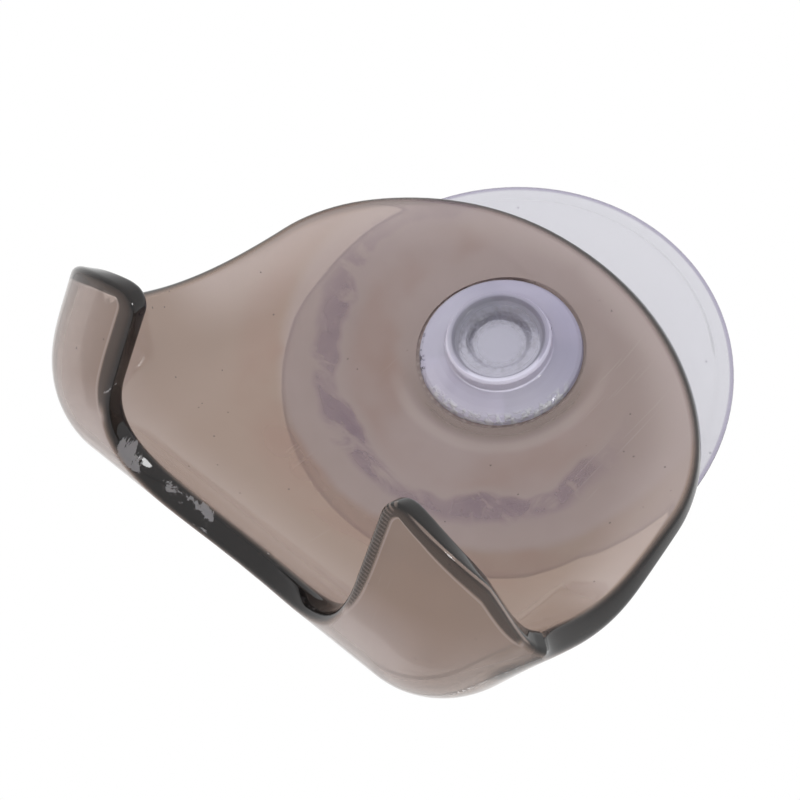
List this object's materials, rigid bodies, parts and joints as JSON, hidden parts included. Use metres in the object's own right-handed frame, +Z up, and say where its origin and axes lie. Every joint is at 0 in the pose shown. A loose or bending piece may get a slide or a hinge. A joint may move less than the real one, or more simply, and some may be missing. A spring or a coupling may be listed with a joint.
{
  "type": "razor holder",
  "caption": "Smoke-tinted clear hook with a curved trough and a notched lip, hung from a clear suction cup whose neck and knob pass through its panel.",
  "frame": {"origin": "centre of the suction cup where it meets the wall", "axes": "+Z up, -Y out of the wall towards the user, +Y into the wall, +X to the holder's right seen from the front"},
  "size_m": [0.0676, 0.0411, 0.0657],
  "materials": {
    "clear_pvc": "glossy, soft, clear with a violet cast",
    "smoke_plastic": "glossy, clear, tinted grey-brown"
  },
  "bodies": {
    "cup": {"suction_cup": "clear_pvc"},
    "hook": {"hook_shell": "smoke_plastic"}
  },
  "joints": [
    {"name": "hook_swivel", "type": "hinge", "parent": "cup", "child": "hook", "pos_m": [0, 0, 0], "axis": [0, 1, 0], "continuous": true}
  ]
}
